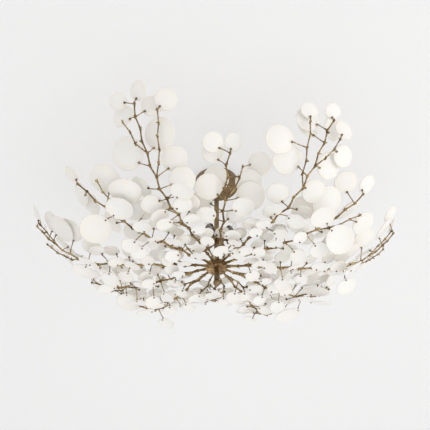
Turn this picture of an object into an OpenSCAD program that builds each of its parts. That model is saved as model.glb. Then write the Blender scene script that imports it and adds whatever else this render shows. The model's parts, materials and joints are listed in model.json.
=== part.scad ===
// Flush mount ceiling light: twelve twig branches with porcelain petals on a short stem.
// The ceiling is the plane z = 0 and the light hangs below it. Millimetres, +Z up.
// An azimuth is counted from the side that faces -Y, towards +X.

/* [Canopy] */
// Outer diameter of the ceiling cup
canopy_d = 150; // [140:1:190]
// Depth of the ceiling cup
canopy_h = 22; // [20:1:32]
// Sheet thickness of the ceiling cup
canopy_wall = 1.2; // [0.8:0.1:2]
// Radius of the cup's lower edge
canopy_edge_r = 4; // [2:0.5:6]

/* [Ceiling bracket] */
// Length of the bracket from end to end
bracket_len = 132; // [124:1:134]
// Width of the bracket strap
bracket_w = 20; // [18:1:26]
// Thickness of the bracket strap
bracket_t = 2; // [1.5:0.1:3]
// How far the middle of the strap stands off the ceiling
bracket_drop = 12; // [11:0.5:13]
// Length of the lowered middle of the strap
bracket_mid = 66; // [60:1:74]
// Distance between the two fixing slots
slot_spacing = 104; // [98:1:110]
// Width of a fixing slot
slot_w = 5.2; // [4.2:0.1:6.5]
// Length of a fixing slot, ends included
slot_l = 14; // [9:0.5:16]

/* [Stem] */
// Outer diameter of the stem tubes
stem_d = 16; // [14:0.5:20]
// Wall of the stem tubes
stem_wall = 1.2; // [0.8:0.1:1.6]
// Diameter of the threaded tubes that clamp the stem
thread_d = 10; // [8:0.5:10.5]
// Bore of the threaded tubes, for the wires
thread_bore = 7; // [5:0.5:7.5]
// Diameter of the ring under the canopy
collar_d = 30; // [24:1:40]
// Height of the ring under the canopy
collar_h = 6; // [4:0.5:10]

/* [Lamps] */
// Number of lamps round the stem
lamp_count = 6; // [3:1:6]
// Azimuth of the first lamp
lamp_turn = -20; // [-60:1:60]
// Distance from the ceiling down to the lamps' axes
lamp_drop = 250; // [200:1:270]
// Diameter of the wiring drum
drum_d = 46; // [42:1:56]
// Height of the wiring drum
drum_h = 26; // [22:1:34]
// Wall of the wiring drum
drum_wall = 1.5; // [1:0.1:2.5]
// Diameter of a lamp arm
arm_d = 8; // [7:0.5:10]
// Free length of a lamp arm between drum and cup
arm_len = 12; // [8:1:24]
// Diameter of a lamp cup
cup_d = 26; // [24:0.5:32]
// Length of a lamp cup
cup_len = 32; // [28:1:40]
// Wall of a lamp cup
cup_wall = 1; // [0.8:0.1:1.5]
// Diameter of the ceramic lampholder
holder_d = 20; // [18:0.5:21]
// Length of the ceramic lampholder
holder_len = 17; // [14:1:20]
// Diameter of the glass of a bulb
bulb_d = 14; // [12:0.5:16]
// Length of the glass of a bulb
bulb_len = 38; // [30:1:44]
// Distance between the two pins of a bulb
pin_pitch = 9; // [8:0.5:10]

/* [Hub] */
// Distance from the ceiling down to the middle of the hub
hub_drop = 360; // [340:1:400]
// Diameter of the hub
hub_d = 64; // [60:1:76]
// Height of the hub
hub_h = 26; // [24:1:34]
// Depth of the sockets in the hub
hub_socket = 11; // [9:1:14]
// Length of the tube between hub and ball
tail_len = 36; // [24:1:60]
// Diameter of the ball at the bottom
ball_d = 22; // [18:1:30]

/* [Branches] */
// Radius that the tips of the four long branches reach
long_reach = 545; // [520:5:580]
// Radius that the tips of the two widest branches reach
wide_reach = 600; // [560:5:620]
// Radius that the tips of the four middle branches reach
middle_reach = 485; // [460:5:510]
// Radius that the tips of the two short branches reach
short_reach = 375; // [350:5:400]
// Height that the tip of a long branch rises above the hub
long_rise = 188; // [150:2:200]
// Height that the tip of a wide branch rises above the hub
wide_rise = 172; // [140:2:190]
// Height that the tip of a middle branch rises above the hub
middle_rise = 84; // [60:2:110]
// Height that the tip of a short branch rises above the hub
short_rise = 118; // [90:2:140]
// Length over which a branch turns up
rise_run = 262; // [240:2:280]
// Diameter of a branch rod at the hub
rod_d = 7; // [6:0.2:8]
// Diameter of a branch rod at its tip
tip_d = 4; // [3.4:0.2:5]
// Distance between two knots of a branch
knot_pitch = 33; // [30:1:38]
// Sideways zigzag of a branch at its knots
zigzag = 3.5; // [1:0.5:6]
// Radius that the sprigs round the hub reach
sprig_reach = 138; // [110:1:160]
// Diameter of a sprig rod
sprig_d = 4.6; // [4:0.2:5.6]

/* [Twigs] */
// Diameter of a twig
twig_d = 3.2; // [2.6:0.1:3.6]
// Length of the shortest twigs
twig_min = 14; // [12:1:20]
// Length of the longest twigs
twig_max = 44; // [30:1:60]

/* [Petals] */
// Diameter of the smallest petals
petal_small = 47; // [40:1:56]
// Diameter of the largest petals
petal_large = 90; // [70:1:100]
// Thickness of a petal
petal_t = 2.6; // [2:0.1:3.4]
// Radius of the sphere that a petal is a cap of
dome_r = 170; // [140:5:300]
// Distance from a petal's rim to the middle of its hole
hole_edge = 6.5; // [5.5:0.5:9]
// Diameter of the hole in a petal
hole_d = 2.9; // [2.7:0.1:3.4]

/* [Petal fixings] */
// Diameter of the stud through a petal
stud_d = 2.2; // [1.8:0.1:2.4]
// Diameter of the seat under a petal
pad_d = 6; // [5:0.5:7]
// Height of the seat above the twig's end
pad_h = 3.4; // [3:0.1:5]
// Diameter of the round nut on a petal
nut_d = 5; // [4:0.5:6]
// Height of the round nut on a petal
nut_h = 2.6; // [2:0.2:3.4]

/* [Hidden] */

brass = "#8c6d42";
dark_brass = "#5f4a2c";
porcelain = "#f3efe6";
steel = "#b9bcc0";

$fn = 24;

// Running clearance of rods in sockets and tubes, and the gap left under a seated piece
fit = 0.1;
seat = 0.05;
// Extra length of a cut past the face that it opens
over = 1;

// Counts and places that follow from the sizes above
branch_count = 12;
sprig_count = 12;
branch_z = -hub_drop + hub_h / 4;
sprig_z = -hub_drop - hub_h / 4;
hub_top = -hub_drop + hub_h / 2;
hub_bottom = -hub_drop - hub_h / 2;
ball_z = hub_bottom - tail_len - ball_d / 2 + 1.5;
stem_bore = stem_d - 2 * stem_wall;
strap_z = -bracket_drop;
bracket_nut_h = 6;
bracket_nut_d = 16;
collar_top = -canopy_h;
collar_bottom = collar_top - collar_h;
drum_top = -lamp_drop + drum_h / 2;
drum_bottom = -lamp_drop - drum_h / 2;
bush_h = 14;
nipple_end = collar_bottom - bush_h;
cup_start = drum_d / 2 + arm_len;
holder_start = cup_start + 3;
holder_face = holder_start + holder_len;
bulb_block = [8, 12.5, 5];
pin_d = 1.2;
pin_len = 8;

// Direction of an azimuth in the plan, and a frame of tangent, side and upper side
function flat_dir(az) = [sin(az), -cos(az), 0];
function side_dir(az) = [cos(az), sin(az), 0];
function unit(v) = v / norm(v);
function blend(a, b, t) = a + (b - a) * t;

// A repeatable number from 0 to 1 for two whole numbers
function fraction(x) = x - floor(x);
function chance(a, b) = fraction(abs(sin(a * 57.29 + b * 131.7) * 4375.85));

// Turn of the whole plan, so that no branch points straight to the front
plan_turn = 4;

// Branches first, then the sprigs between them: the azimuths wander like bent twigs
function is_sprig(b) = b >= branch_count;
function azimuth(b) = is_sprig(b)
    ? nominal(b)
    : nominal(b) + 3 * sin(b * 110 + 20);
// One of four kinds by its place in the half circle, and a size that depends on the kind
function of_kind(b, short, long, middle, wide) = [short, long, middle, wide, middle, long][b % 6];
function reach(b) = is_sprig(b) ? sprig_reach : of_kind(b, short_reach, long_reach, middle_reach, wide_reach);
function lift_of(b) = of_kind(b, short_rise, long_rise, middle_rise, wide_rise);
function base_z(b) = is_sprig(b) ? sprig_z : branch_z;
function turn_up(b) = is_sprig(b) ? sprig_reach : reach(b) - rise_run;

// The bowl that a branch follows: flat round the hub, then a parabola up to the tip
function bowl(b, r) = base_z(b) + (r > turn_up(b) ? lift_of(b) * pow((r - turn_up(b)) / rise_run, 2) : 0);
function slope(b, r) = r > turn_up(b) ? 2 * lift_of(b) * (r - turn_up(b)) / pow(rise_run, 2) : 0;

// A knot: its place, the frame of the bowl there, its distance from the axis and its own number
function knot(b, r, side, number) =
    let (az = azimuth(b) + side / r * 180 / PI, m = slope(b, r))
    [[r * sin(az), -r * cos(az), bowl(b, r)],
     unit([sin(az), -cos(az), m]), side_dir(az), unit([-m * sin(az), m * cos(az), 1]), r, number];

// Distances of a stem's knots from the axis, one pitch apart along the bowl
function knot_radii(b, from, to) =
    [for (r = from; r < to; r = r + knot_pitch / sqrt(1 + pow(slope(b, r), 2))) r];

function zig(b, k) = (k % 2 == 0 ? 1 : -1) * zigzag * (0.5 + chance(b + 3, k));
function rod_start(b) = hub_d / 2 - hub_socket + 1;
first_knot = 66;
// How far a fork steps to its side at once
fork_step = 12;
// A fork's rod against the main rod beside it
fork_thin = 0.82;
// Extra radius of a knot over its rod, which covers the roots of its twigs, and its length
knot_swell = 1.6;
knot_len = 8;
// Flats round a stem and round a twig
flats = 8;
twig_flats = 6;
// Radius of the ball foot on a twig's end, at its turned edges
foot_edge = 2.7;

// The main stem leaves the hub straight. A fork starts at a knot and leans to one side.
function main_stem(b) =
    let (radii = knot_radii(b, first_knot, reach(b)))
    concat([knot(b, rod_start(b), 0, 0)],
        [for (k = [0:len(radii) - 1]) knot(b, radii[k], k == 0 ? 0 : zig(b, k), k + 1)]);
function fork(b, main, from, lean) =
    let (start = main[from], radii = knot_radii(b, start[4], reach(b) * 0.97), hand = lean > 0 ? 1 : -1)
    concat([start], [for (k = [1:1:len(radii) - 1])
        knot(b, radii[k], zig(b, from - 1) + hand * fork_step + lean * k * knot_pitch + zig(b, k) * 0.6,
            hand * 100 + k)]);
function stems(b) =
    let (main = main_stem(b), n = len(main), lean = 0.27 + 0.08 * chance(b, 77),
         hand = b % 4 < 2 ? 1 : -1)
    is_sprig(b) ? [main]
    : b % 2 == 1 ? [main, fork(b, main, n - 7, -hand * lean), fork(b, main, n - 5, hand * lean)]
    : b % 6 == 0 ? [main, fork(b, main, n - 5, hand * lean)]
    : [main, fork(b, main, n - 6, -hand * lean)];

// Rod diameter at a knot
function rod_at(b, stem, k) = is_sprig(b) ? sprig_d
    : blend(rod_d, tip_d, min(1, max(0, (stem[k][4] - first_knot) / (reach(b) - first_knot))))
        * (abs(stem[len(stem) - 1][5]) > 99 ? fork_thin : 1);

// Shapes used to keep the pieces apart: a flat disc (kind 0) or a round-ended rod (kind 1),
// as [middle, normal or half length vector, radius, half thickness, kind, bounding radius]
function disc(c, n, r, half) = [c, n, r, half, 0, norm([r, half])];
function rod(p, q, r) = [(p + q) / 2, (q - p) / 2, r, 0, 1, norm(q - p) / 2 + r];
function extent(e, u) = e[4] == 0
    ? e[2] * sqrt(max(0, 1 - pow(u * e[1], 2))) + e[3] * abs(u * e[1])
    : abs(u * e[1]) + e[2];
function parted(a, b, v) = let (l = norm(v)) l > 0.001
    && abs((b[0] - a[0]) * v) / l > extent(a, v / l) + extent(b, v / l);
function beside(a, d) = d - (d * a[1]) * a[1];
function apart(a, b) =
    let (d = b[0] - a[0])
    norm(d) > a[5] + b[5] || parted(a, b, d)
    || (a[4] == 0 && (parted(a, b, a[1]) || parted(a, b, beside(a, d))))
    || (b[4] == 0 && (parted(a, b, b[1]) || parted(a, b, beside(b, d))))
    || (a[4] == 0 && b[4] == 0 && parted(a, b, a[1] + b[1]))
    || parted(a, b, cross(a[1], b[1]));

// Room kept round a petal, a twig and a rod
room = 0.6;

// Rods of a stem, each with the numbers of the knots at its ends
function stem_rods(b, stem) = [for (k = [0:len(stem) - 2])
    [rod(stem[k][0], stem[k + 1][0], rod_at(b, stem, k) / 2 + 1 + room), stem[k][5], stem[k + 1][5]]];
function all_rods(b) = [for (s = stems(b)) each stem_rods(b, s)];

// Petal diameter at a distance from the axis: large where the branch turns up, small elsewhere
function petal_size(b, r, lot) =
    let (x = (r / reach(b) - 0.8) / 0.17)
    is_sprig(b) ? petal_small * (0.92 + 0.16 * lot)
    : blend(petal_small, petal_large, exp(-x * x)) * (0.86 + 0.26 * lot);

// One try at a twig and its petal on a knot, as
// [branch, knot, twig end, petal normal at the hole, direction across the petal, diameter, shapes]
function sprout(b, knot, hand, storey, go) =
    let (key = b * 37 + knot[5] * 5 + hand + storey * 911,
         is_tip = hand == 0,
         flat = slope(b, knot[4]) < 0.4,
         under = flat && storey == 1,
         up = under ? -knot[3] : knot[3],
         swing = is_tip ? blend(-25, 25, chance(key, go * 11 + 2))
             : hand * blend(60, 98, chance(key, go * 11 + 2)),
         lift = blend(flat ? 4 : 8, flat ? 48 : 52, chance(key, go * 11 + 3)),
         long = is_tip ? twig_min * 1.2 : blend(twig_min, twig_max, chance(key, go * 11 + 4)),
         level = cos(swing) * knot[1] + sin(swing) * knot[2],
         along = cos(lift) * level + sin(lift) * up,
         tilt = max(lift + blend(-16, 16, chance(key, go * 11 + 5)), -8),
         roll = blend(-20, 20, chance(key, go * 11 + 6)),
         yaw = blend(-30, 30, chance(key, go * 11 + 7)),
         square = unit(up - (up * along) * along),
         rolled = cos(roll) * square + sin(roll) * cross(along, square),
         normal = cos(tilt) * rolled + sin(tilt) * along,
         ahead = unit(along - (along * normal) * normal),
         across = cos(yaw) * ahead + sin(yaw) * cross(normal, ahead),
         size = petal_size(b, knot[4], chance(key, 91)) * (go > 3 ? 0.86 : 1) * (is_tip ? 0.92 : 1),
         end = knot[0] + long * along,
         hole = end + (pad_h + seat + petal_t / 2) * normal,
         away = asin((size / 2 - hole_edge) / dome_r),
         sink = pow(size / 2, 2) / dome_r / 2,
         axis = cos(away) * normal - sin(away) * across,
         pole = hole + dome_r * normal - dome_r * axis)
    [b, knot, end, normal, across, size,
     [disc(pole + axis * sink / 2, axis, size / 2 + room, (petal_t + sink) / 2 + room),
      rod(knot[0] + along * (rod_d / 2 + 1), end, twig_d / 2 + room),
      rod(end, end + (pad_h + petal_t + nut_h + 1) * normal, pad_d / 2 + room)]];

// The middle of the light, which the petals round the hub stay clear of
core = [rod([0, 0, -lamp_drop], [0, 0, ball_z], ball_d / 2 + 2),
    disc([0, 0, -hub_drop], [0, 0, 1], hub_d / 2 + 16, hub_h / 2 + 2)];

// A twig and its petal stay within a wedge of the plan on each side of their own branch
wedge = 30;
function nominal(b) = is_sprig(b) ? 30 * (b - branch_count + 0.5) + plan_turn : 30 * b + plan_turn;
function within(e, u) = e[0] * u + extent(e, u) < -room / 2;
function in_wedge(b, shapes) =
    let (left = -side_dir(nominal(b) - wedge), right = side_dir(nominal(b) + wedge))
    within(shapes[0], left) && within(shapes[0], right) && within(shapes[1], left) && within(shapes[1], right);
function clear_of_rods(shapes, rods, number) =
    len([for (o = rods) if (!apart(shapes[0], o[0]) || !apart(shapes[2], o[0])
        || (o[1] != number && o[2] != number && !apart(shapes[1], o[0]))) 1]) == 0;
function clear_of(shapes, others) =
    len([for (mine = shapes) for (theirs = others) if (!apart(mine, theirs)) 1]) == 0;

tries = 4;
// The first try that stays clear of the rods and of all that has grown before, or none
function grow(b, knot, hand, storey, rods, others, go = 0) =
    go == tries ? []
    : let (s = sprout(b, knot, hand, storey, go))
      in_wedge(b, s[6]) && clear_of(s[6], others) && clear_of_rods(s[6], rods, knot[5])
      ? [s] : grow(b, knot, hand, storey, rods, others, go + 1);

// Where twigs may sprout: on both sides of every knot past the first, and ahead at each tip (hand 0).
// In the flat part a second storey sprouts below the first.
function buds(b) = [for (s = stems(b)) for (k = [1:len(s) - 1])
    let (hand = k % 2 == 0 ? 1 : -1, storeys = slope(b, s[k][4]) < 0.4 ? 1 : 0)
    if (is_sprig(b) || s[k][4] > 100)
    for (side = k == len(s) - 1 ? [0, hand, -hand] : [hand, -hand]) for (storey = [0:storeys])
    [s[k], side, storey]];

// Furthest that a twig and its petal reach from their knot
sprout_reach = twig_max + petal_large * 1.12 + pad_h;

// Branches and sprigs whose rods may come near, by number
function rods_near(b) = is_sprig(b)
    ? let (a = b - branch_count) [a, (a + 1) % 12, b, 12 + (a + 1) % 12, 12 + (a + 11) % 12]
    : [b, (b + 1) % 12, (b + 11) % 12, 12 + b, 12 + (b + 11) % 12];

// All twigs of one branch, clear of those that grew before it
function grow_branch(b, before) =
    let (rods = [for (o = rods_near(b)) each all_rods(o)],
         near = concat(core, [for (s = before) each s[6]]),
         list = buds(b))
    [for (i = 0, own = [], out = near; i <= len(list);
        at = i < len(list) ? list[i][0][0] : [0, 0, 0],
        got = i < len(list) ? grow(b, list[i][0], list[i][1], list[i][2],
            [for (o = rods) if (norm(o[0][0] - at) < sprout_reach + o[0][5]) o],
            [for (o = out) if (norm(o[0] - at) < sprout_reach + o[5]) o]) : [],
        own = concat(own, got), out = concat(out, [for (s = got) each s[6]]), i = i + 1)
        if (i == len(list)) own][0];

// Twigs of a ring of branches or sprigs: every second one grows freely in its wedge,
// the ones between keep clear of the two beside them, and all keep clear of the given shapes
function grow_ring(first, before) =
    let (free = [for (i = [0:5]) grow_branch(first + 2 * i, before)],
         tied = [for (i = [0:5]) grow_branch(first + 2 * i + 1, concat(before, free[i], free[(i + 1) % 6]))])
    [for (i = [0:5]) each [free[i], tied[i]]];
function grow_sprigs() = grow_ring(branch_count, []);
function grow_branches(sprigs) = grow_ring(0, [for (s = sprigs) each s]);
function grow_one(b, sprigs) =
    let (before = [for (s = sprigs) each s])
    b % 2 == 0 ? grow_branch(b, before)
    : grow_branch(b, concat(before, grow_branch(b - 1, before), grow_branch((b + 1) % branch_count, before)));

// Turns a shape's own X, Y and Z onto a frame at a place
module placed(at, x, z) {
    y = cross(z, x);
    multmatrix([[x[0], y[0], z[0], at[0]], [x[1], y[1], z[1], at[1]], [x[2], y[2], z[2], at[2]]])
        children();
}

// A straight rod from one point to another, with a number of flats
module bar(p, q, r, sides) {
    d = unit(q - p);
    x = unit(cross(abs(d[2]) > 0.9 ? [1, 0, 0] : [0, 0, 1], d));
    placed(p, x, d) cylinder(h = norm(q - p), r = r, $fn = sides);
}

module tube(d, bore, z_low, z_high) {
    difference() {
        translate([0, 0, z_low]) cylinder(h = z_high - z_low, d = d);
        translate([0, 0, z_low - over]) cylinder(h = z_high - z_low + 2 * over, d = bore);
    }
}

module round_lamps() {
    for (i = [0:lamp_count - 1]) rotate([0, 0, lamp_turn + 360 / lamp_count * i]) lying() children();
}

// Lays a shape's own Z along azimuth 0 at the lamps' height
module lying() {
    translate([0, 0, -lamp_drop]) rotate([90, 0, 0]) children();
}

// Hat-shaped strap: its ends lie on the ceiling, its middle takes the nipple
module ceiling_bracket() {
    half = bracket_len / 2;
    mid = bracket_mid / 2;
    color(steel) difference() {
        rotate([90, 0, 0]) linear_extrude(bracket_w, center = true) polygon([
            [-half, 0], [-half, -bracket_t], [-mid - bracket_t, -bracket_t],
            [-mid, strap_z - bracket_t], [mid, strap_z - bracket_t], [mid + bracket_t, -bracket_t],
            [half, -bracket_t], [half, 0], [mid, 0], [mid - bracket_t, strap_z],
            [-mid + bracket_t, strap_z], [-mid, 0]]);
        translate([0, 0, strap_z - bracket_t - over]) cylinder(h = bracket_t + 2 * over, d = thread_d + 2 * fit);
        for (side = [-1, 1]) translate([side * slot_spacing / 2, 0, -bracket_t - over]) {
            for (end = [-1, 1]) translate([end * (slot_l - slot_w) / 2, 0, 0])
                cylinder(h = bracket_t + 2 * over, d = slot_w);
            translate([-(slot_l - slot_w) / 2, -slot_w / 2, 0])
                cube([slot_l - slot_w, slot_w, bracket_t + 2 * over]);
        }
        translate([-mid * 0.6, 0, strap_z - bracket_t - over])
            cylinder(h = bracket_t + 2 * over, d = 4 + 2 * fit);
    }
}

module bracket_nut() {
    color(steel) translate([0, 0, strap_z + seat]) difference() {
        cylinder(h = bracket_nut_h, d = bracket_nut_d, $fn = 6);
        translate([0, 0, -over]) cylinder(h = bracket_nut_h + 2 * over, d = thread_d + 2 * fit);
    }
}

// Threaded tube that hangs the stem from the bracket
module top_nipple() {
    color(steel) tube(thread_d, thread_bore, nipple_end, strap_z + bracket_nut_h + 2);
}

// Spun cup with a rounded lower edge
module canopy() {
    r = canopy_d / 2;
    color(brass) difference() {
        canopy_form(r, canopy_h, canopy_edge_r);
        translate([0, 0, over]) canopy_form(r - canopy_wall, canopy_h - canopy_wall + over,
            canopy_edge_r - canopy_wall);
        translate([0, 0, -canopy_h - over]) cylinder(h = canopy_wall + 2 * over, d = thread_d + 2 * fit);
    }
}

module canopy_form(r, h, edge) {
    translate([0, 0, -h]) rotate_extrude() union() {
        square([r - edge, h]);
        translate([0, edge]) square([r, h - edge]);
        intersection() {
            translate([r - edge, edge]) circle(edge);
            square([r, h]);
        }
    }
}

// Turned ring that closes the canopy's hole and caps the stem tube
module canopy_collar() {
    color(brass) difference() {
        union() {
            translate([0, 0, collar_bottom]) cylinder(h = collar_h - seat, d1 = stem_d + 6, d2 = collar_d);
            translate([0, 0, collar_top - 2 - seat]) cylinder(h = 2, d = collar_d + 2);
        }
        translate([0, 0, collar_bottom - over]) cylinder(h = collar_h + 2 * over, d = thread_d + 2 * fit);
    }
}

terminal = [30, 14, 12];
terminal_x = 17;
module terminal_block() {
    color("#e9e6dc") translate([terminal_x, -terminal[1] / 2, strap_z - bracket_t - seat]) mirror([0, 0, 1])
        difference() {
            cube([terminal[0], terminal[1], terminal[2] - 6]);
            for (i = [0:2]) translate([terminal[0] / 6 * (1 + 2 * i), terminal[1] / 2, 2])
                cylinder(h = terminal[2], d = 4);
        }
}

module terminal_screws() {
    color(steel) for (i = [0:2])
        translate([terminal_x + terminal[0] / 6 * (1 + 2 * i), 0, strap_z - bracket_t - seat - 5])
            difference() {
                cylinder(h = 2.8, d = 3.6);
                translate([-2, -0.4, -over]) cube([4, 0.8, over + 1]);
            }
}

module earth_screw() {
    color("#c9a227") translate([-bracket_mid * 0.3, 0, strap_z]) {
        translate([0, 0, -bracket_t - 5]) cylinder(h = bracket_t + 5 + seat, d = 4);
        translate([0, 0, seat]) cylinder(h = 3, d = 7.6);
    }
}

// Mains cable from the terminal block through the nipple and the stem into the drum
module inner_cable() {
    cable_d = 5;
    color("#d8d4ca") union() {
        translate([0, 0, drum_top - 4]) cylinder(h = strap_z + 9 - drum_top, d = cable_d);
        translate([0, 0, strap_z + 4.9]) sphere(d = cable_d + 0.2);
    }
}

module stem_bushes() {
    color(steel) {
        tube(stem_bore - 2 * fit, thread_d + 2 * fit, nipple_end + seat, collar_bottom - 0.4);
        tube(stem_bore - 2 * fit, thread_d + 2 * fit, hub_top + 0.4, hub_top + bush_h);
    }
}

module upper_stem() {
    color(brass) tube(stem_d, stem_bore, drum_top + seat, collar_bottom - seat);
}

module lower_stem() {
    color(brass) tube(stem_d, stem_bore, hub_top + seat, drum_bottom - seat);
}

// Turned drum in which the wires of the lamps meet
module lamp_drum() {
    color(brass) difference() {
        translate([0, 0, drum_bottom]) cylinder(h = drum_h - drum_wall - seat, d = drum_d);
        translate([0, 0, drum_bottom + drum_wall * 2]) cylinder(h = drum_h, d = drum_d - 2 * drum_wall);
        translate([0, 0, drum_bottom - over]) cylinder(h = drum_h, d = thread_d + 2 * fit);
        round_lamps() translate([0, 0, drum_d / 2 - 6]) cylinder(h = 12, d = arm_d + 2 * fit);
    }
}

module drum_lid() {
    color(brass) difference() {
        union() {
            translate([0, 0, drum_top - drum_wall]) cylinder(h = drum_wall, d = drum_d);
            translate([0, 0, drum_top - drum_wall - 3])
                cylinder(h = 3 + drum_wall / 2, d = drum_d - 2 * drum_wall - 2 * fit);
        }
        translate([0, 0, drum_bottom]) cylinder(h = drum_h + over, d = thread_d + 2 * fit);
    }
}

module lamp_arms() {
    color(brass) round_lamps() difference() {
        translate([0, 0, drum_d / 2 - 4]) cylinder(h = arm_len + 4 + cup_wall + 1.5, d = arm_d);
        translate([0, 0, drum_d / 2 - 5]) cylinder(h = arm_len + 12, d = arm_d - 2);
    }
}

module arm_leads() {
    color("#d8d4ca") round_lamps() translate([0, 0, drum_d / 2 - 8])
        cylinder(h = holder_start - drum_d / 2 + 8 - seat, d = 3.6);
}

module lamp_cups() {
    color(brass) round_lamps() translate([0, 0, cup_start]) difference() {
        union() {
            cylinder(h = cup_len, d = cup_d);
            translate([0, 0, -3]) cylinder(h = 4, d1 = arm_d + 4, d2 = cup_d - 4);
        }
        translate([0, 0, cup_wall]) cylinder(h = cup_len, d = cup_d - 2 * cup_wall);
        translate([0, 0, -4]) cylinder(h = 8, d = arm_d + 2 * fit);
    }
}

// Ceramic lampholders with two contact holes and a recess for the bulb's flat foot
module lampholders() {
    color(porcelain) round_lamps() translate([0, 0, holder_start]) difference() {
        union() {
            cylinder(h = holder_len, d = holder_d);
            cylinder(h = 3, d = cup_d - 2 * cup_wall - 2 * fit);
        }
        translate([0, 0, holder_len - 6 / 2 + over / 2])
            cube([bulb_block[1] + 0.8, bulb_block[2] + 0.8, 6 + over], center = true);
        for (side = [-1, 1]) translate([side * pin_pitch / 2, 0, holder_len - 6 - pin_len - 1])
            cylinder(h = pin_len + 2, d = pin_d + 0.8);
        translate([0, 0, -over]) cylinder(h = 3.5, d = 3);
    }
}

// Two-pin capsule bulb: round-ended glass, flat pressed foot and two pins
module bulb(i) {
    foot = holder_face - 5.5;
    color("#f4f4f0", 0.6) rotate([0, 0, lamp_turn + 360 / lamp_count * (i - 1)]) lying() union() {
        translate([-bulb_block[1] / 2, -bulb_block[2] / 2, foot])
            cube([bulb_block[1], bulb_block[2], bulb_block[0]]);
        translate([0, 0, foot + bulb_block[0] - 0.5]) rotate_extrude() intersection() {
            union() {
                translate([0, 2]) square([bulb_d, bulb_len - bulb_d / 2 - 2]);
                square([bulb_d / 2 - 2, 3]);
                translate([bulb_d / 2 - 2, 2]) circle(2);
                translate([0, bulb_len - bulb_d / 2]) circle(bulb_d / 2);
            }
            square([bulb_d / 2, bulb_len]);
        }
        for (side = [-1, 1]) translate([side * pin_pitch / 2, 0, foot - pin_len + 1])
            cylinder(h = pin_len, d = pin_d);
    }
}

module tie_rod() {
    color(steel) tube(thread_d, thread_bore, ball_z, drum_bottom + 2 * drum_wall + 5);
}

// Hub with a ring of sockets for the branches and a lower ring for the sprigs
module branch_hub() {
    color(dark_brass) difference() {
        translate([0, 0, hub_bottom]) rotate_extrude() polygon([
            [0, 0], [hub_d / 2 - 6, 0], [hub_d / 2, 4], [hub_d / 2, hub_h - 4], [hub_d / 2 - 6, hub_h],
            [0, hub_h]]);
        translate([0, 0, hub_bottom - over]) cylinder(h = hub_h + 2 * over, d = thread_d + 2 * fit);
        for (b = [0:branch_count - 1]) socket(azimuth(b), branch_z, rod_d);
        for (b = [branch_count:branch_count + sprig_count - 1]) socket(azimuth(b), sprig_z, sprig_d);
    }
}

module socket(az, z, d) {
    translate([0, 0, z]) rotate([0, 0, az]) rotate([90, 0, 0]) translate([0, 0, hub_d / 2 - hub_socket])
        cylinder(h = hub_socket + over, d = d + 2 * fit);
}

module tail_tube() {
    color(brass) tube(stem_d, stem_bore, ball_z + ball_d / 2 - 1.5 + seat, hub_bottom - seat);
}

// Ball nut that clamps hub and tubes on the tie rod
module ball_finial() {
    color(brass) translate([0, 0, ball_z]) difference() {
        union() {
            sphere(d = ball_d);
            cylinder(h = ball_d / 2 - 1.5, d = stem_d * 0.8);
        }
        translate([0, 0, -seat]) cylinder(h = ball_d, d = thread_d + 2 * fit);
    }
}

// Turned stud brazed to a twig's end: a ball foot, a neck, a seat and a pin for the petal
module petal_stud(s) {
    top = pad_h + petal_t + nut_h + 0.6;
    near = foot_edge * sin(22.5);
    far = foot_edge * cos(22.5);
    placed(s[2], s[4], s[3]) rotate_extrude() polygon([
        [0, -far], [near, -far], [far, -near], [far, near], [pad_d * 0.3, pad_h - 1.5],
        [pad_d / 2, pad_h - 1], [pad_d / 2, pad_h], [stud_d / 2, pad_h], [stud_d / 2, top], [0, top]]);
}

// A stem is a chain of straight rods of eight flats, with a thicker collar over each knot
module stem_form(b, stem, joined) {
    last = len(stem) - 1;
    for (k = [0:last - 1]) {
        r = rod_at(b, stem, k) / 2;
        bar(stem[k][0], stem[k + 1][0], r, flats);
        if (k > 0) knot_collar(stem[k], r);
    }
    knot_collar(stem[last], rod_at(b, stem, last) / 2);
    if (!joined) bar(stem[0][0] + flat_dir(azimuth(b)) * (hub_socket + 0.3),
        stem[0][0] + flat_dir(azimuth(b)) * (hub_socket + 12), rod_at(b, stem, 0) / 2 + knot_swell, flats);
}

module knot_collar(at, r) {
    bar(at[0] - at[1] * knot_len / 2, at[0] + at[1] * knot_len / 2, r + knot_swell, flats);
}

// A whole branch or sprig in one casting: stems, forks and twigs
module branch_form(b, own) {
    list = stems(b);
    union() {
        for (i = [0:len(list) - 1]) stem_form(b, list[i], i > 0);
        for (s = own) bar(s[1][0], s[2] - unit(s[2] - s[1][0]) * (foot_edge + seat), twig_d / 2, twig_flats);
    }
}

// A petal is a cap of a hollow sphere, cut square at its rim, with one hole near it
module petal(s) {
    r = s[5] / 2;
    away = asin((r - hole_edge) / dome_r);
    rim = tan(asin(r / dome_r));
    placed(s[2] + (pad_h + seat + petal_t / 2) * s[3], s[4], s[3]) difference() {
        translate([0, 0, dome_r]) rotate([0, 180 - away, 0]) rotate_extrude() intersection() {
            difference() {
                circle(dome_r + petal_t / 2, $fn = 96);
                circle(dome_r - petal_t / 2, $fn = 96);
            }
            polygon([[0, 0], [0, 2 * dome_r], [2 * dome_r * rim, 2 * dome_r]]);
        }
        translate([0, 0, -petal_t]) cylinder(h = 2 * petal_t, d = hole_d);
    }
}

module petal_nut(s) {
    bore = stud_d / 2 + fit;
    placed(s[2] + (pad_h + 2 * seat + petal_t) * s[3], s[4], s[3]) rotate_extrude() polygon([
        [bore, 0], [nut_d / 2, 0], [nut_d / 2, nut_h * 0.6], [nut_d * 0.3, nut_h], [bore, nut_h]]);
}

module branch(i) {
    color(brass) branch_form(i - 1, grow_one(i - 1, grow_sprigs()));
}

module petals(i) {
    color(porcelain) for (s = grow_one(i - 1, grow_sprigs())) petal(s);
}

module sprigs() {
    grown = grow_sprigs();
    color(brass) for (i = [0:sprig_count - 1]) branch_form(branch_count + i, grown[i]);
}

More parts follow.
